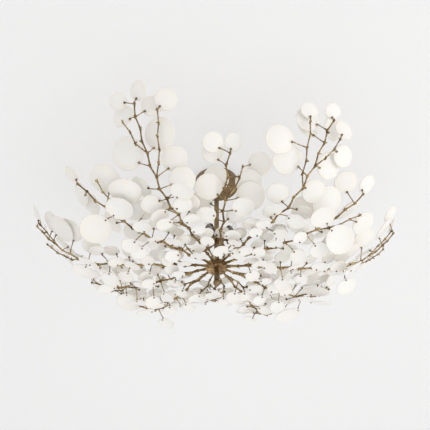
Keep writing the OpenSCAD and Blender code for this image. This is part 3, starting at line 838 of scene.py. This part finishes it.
# %% Bulb patterns
clear_glass = Finish("clear_glass")
ripple = clear_glass.noise(clear_glass.place(), 120, 2)
edge = clear_glass.node("ShaderNodeLayerWeight", None, {"Blend": 0.35}, "Facing")
clear_glass.set(Base_Color=clear_glass.mix(ripple, (0.60, 0.62, 0.62), (0.74, 0.76, 0.76)),
                Roughness=0.02 + 0.04 * ripple, Alpha=0.1 + 0.45 * edge, IOR=1.46)
bulb_wire = plain("bulb_wire", (0.55, 0.54, 0.52), 1.0, 0.35, 900)
BULB_LENGTH = 0.0455
GLASS_RADIUS = 0.007
FOOT = (0.0125, 0.005, 0.008)
PIN_HALF_GAP, PIN_RADIUS, PIN_LENGTH = 0.0045, 0.0005, 0.007
SUPPORT_SIDE, SUPPORT_RADIUS, SUPPORT_TOP = 0.0024, 0.00022, 0.0235
COIL_RADIUS, COIL_WIRE, COIL_PITCH, COIL_TURNS = 0.00085, 0.00017, 0.00055, 9
COIL_PLACE = (-0.00248, 0, 0.0225)
LAMPS = range(6)
FIRST_LAMP, LAMP_SPACING = -20, 60


def glass_pattern():
    """The envelope and the pressed foot, from the foot's lower face up Z."""
    top = BULB_LENGTH - GLASS_RADIUS
    rings = [(0.0076, 0.0046, 0), (0.0078, 0.006, 0), (0.0092, GLASS_RADIUS, 0),
             (top, GLASS_RADIUS, 0)]
    for step in range(1, 8):
        turn = math.radians(12.4 * step)
        rings.append((top + GLASS_RADIUS * math.sin(turn), GLASS_RADIUS * math.cos(turn), 0))
    envelope = pulled_rod("envelope", 28, rings, 0)
    clear_selection()
    bpy.ops.mesh.primitive_cube_add(size=1, location=(0, 0, FOOT[2] / 2))
    foot = added()
    bpy.ops.transform.resize(value=FOOT)
    bpy.ops.mesh.bevel(offset=0.0011, segments=3)
    close_editing(foot)
    bpy.ops.object.shade_smooth_by_angle(angle=math.radians(40))
    return joined([envelope, foot], "bulb_glass", clear_glass.material)


def straight_wire(radius, side, low, high):
    """A thin wire with rounded ends between two heights, at one place beside the axis."""
    return pulled_rod("wire", 8, [(low, radius * 0.5, side), (low + radius, radius, side),
                                  (high - radius, radius, side), (high, radius * 0.5, side)], 0)


def filament_pattern():
    """Pins, support wires and the coil between them."""
    wires = []
    for hand in (-1, 1):
        wires.append(straight_wire(PIN_RADIUS, hand * PIN_HALF_GAP, -PIN_LENGTH, 0.004))
        wires.append(straight_wire(SUPPORT_RADIUS, hand * SUPPORT_SIDE, 0.003, SUPPORT_TOP))
    clear_selection()
    bpy.ops.mesh.primitive_circle_add(vertices=6, radius=COIL_WIRE, location=(COIL_RADIUS, 0, 0),
                                      rotation=(math.pi / 2, 0, 0))
    coil = close_editing(added())
    apply_modifier(coil, "SCREW", axis="Z", screw_offset=COIL_PITCH, iterations=COIL_TURNS,
                   steps=10, render_steps=10, use_merge_vertices=False)
    bpy.ops.object.shade_smooth()
    lying = Matrix.Rotation(math.pi / 2, 4, "Y")
    coil.data.transform(Matrix.Translation(COIL_PLACE) @ lying)
    return joined(wires + [coil], "bulb_wires", bulb_wire)


glass = glass_pattern()
wires = filament_pattern()

# %% Bulbs in their lampholders
for i in LAMPS:
    name = f"bulb_{i + 1}"
    turn = math.radians(FIRST_LAMP + LAMP_SPACING * i)
    outwards = Vector((math.sin(turn), -math.cos(turn), 0))
    far = max(v.co.dot(outwards) for v in nodes[name].data.vertices)
    middle = (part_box(name)[0].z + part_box(name)[1].z) / 2
    seat = outwards * (far - BULB_LENGTH) + Vector((0, 0, middle))
    place = frame_at(seat, Vector((0, 0, 1)).cross(outwards), outwards)
    for pattern, kind, slot in ((glass, "glass", "bulb_glass"), (wires, "wires", "zinc_steel")):
        piece = pattern.copy()
        piece.data = pattern.data.copy()
        piece.name = f"{name}_{kind}"
        piece.data.transform(place)
        bpy.context.scene.collection.objects.link(piece)
        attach(piece, name)
        if kind == "glass":
            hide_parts(name)
bpy.data.objects.remove(glass)
bpy.data.objects.remove(wires)
print(len(LAMPS), "bulbs")

# %% [markdown]
# ## Room, light and background
#
# The light hangs under a white ceiling, which shows from below only and lets the room's light
# through, so that the light can be looked at from all sides. A pale floor lies far below.

# %% Ceiling and floor


def wall(name, size, height, grey, glow_colour, share, upside_down, always_there):
    """A wide sheet of the room, seen from one side. Seen rays get a share of an even glow. A sheet
    that isn't always there shows to the camera and in mirrors, and lets all other light through."""
    clear_selection()
    bpy.ops.mesh.primitive_plane_add(size=size, location=(0, 0, height))
    sheet = added()
    bpy.ops.mesh.subdivide(number_cuts=3)
    if upside_down:
        bpy.ops.mesh.flip_normals()
    close_editing(sheet)
    sheet.name = name
    paint = Finish(name + "_paint")
    paint.set(Base_Color=(grey, grey, grey, 1), Roughness=0.9)
    glow = paint.node("ShaderNodeEmission", None, {"Color": (*glow_colour, 1)})
    camera_ray = paint.node("ShaderNodeLightPath", output="Is Camera Ray")
    mirrored = paint.node("ShaderNodeLightPath", output="Is Glossy Ray")
    through = paint.node("ShaderNodeLightPath", output="Is Transmission Ray")
    seen = camera_ray + mirrored + through
    lit = paint.node("ShaderNodeMixShader", None, {0: seen * share, 2: glow})
    paint.tree.links.new(paint.shader.outputs[0], lit.socket.node.inputs[1])
    clear = paint.node("ShaderNodeBsdfTransparent")
    behind = paint.node("ShaderNodeNewGeometry", output="Backfacing")
    hidden = behind if always_there else 1 - seen * (1 - behind)
    shown = paint.node("ShaderNodeMixShader", None, {0: hidden, 1: lit, 2: clear})
    paint.tree.links.new(shown.socket, paint.tree.nodes["Material Output"].inputs[0])
    sheet.data.materials.append(paint.material)


wall("ceiling", 14, 0.001, 0.86, (0.94, 0.94, 0.945), 0.5, True, False)
wall("floor", 30, -2.7, 0.84, (0.84, 0.84, 0.84), 1, False, True)

# %% Lamps and world


def soft_lamp(name, place, aim, size, power, colour):
    """A large square lamp that faces a point."""
    data = bpy.data.lights.new(name, "AREA")
    data.size = size
    data.energy = power
    data.color = colour
    lamp = bpy.data.objects.new(name, data)
    bpy.context.scene.collection.objects.link(lamp)
    lamp.location = place
    lamp.rotation_euler = (Vector(aim) - Vector(place)).to_track_quat("-Z", "Y").to_euler()


soft_lamp("window", (3.2, -2.4, -1.7), (0, 0, -0.3), 1.8, 34, (1.0, 0.985, 0.96))
soft_lamp("bounce", (0.7, 1.4, -2.6), (0.7, 1.4, 0), 4.5, 18, (1.0, 0.985, 0.965))
world = bpy.data.worlds.new("room")
bpy.context.scene.world = world
world.use_nodes = True
world.node_tree.nodes["Background"].inputs["Color"].default_value = (1.0, 0.995, 0.985, 1)
world.node_tree.nodes["Background"].inputs["Strength"].default_value = 0.9
bpy.context.scene.view_settings.view_transform = "Standard"
print("room ready")
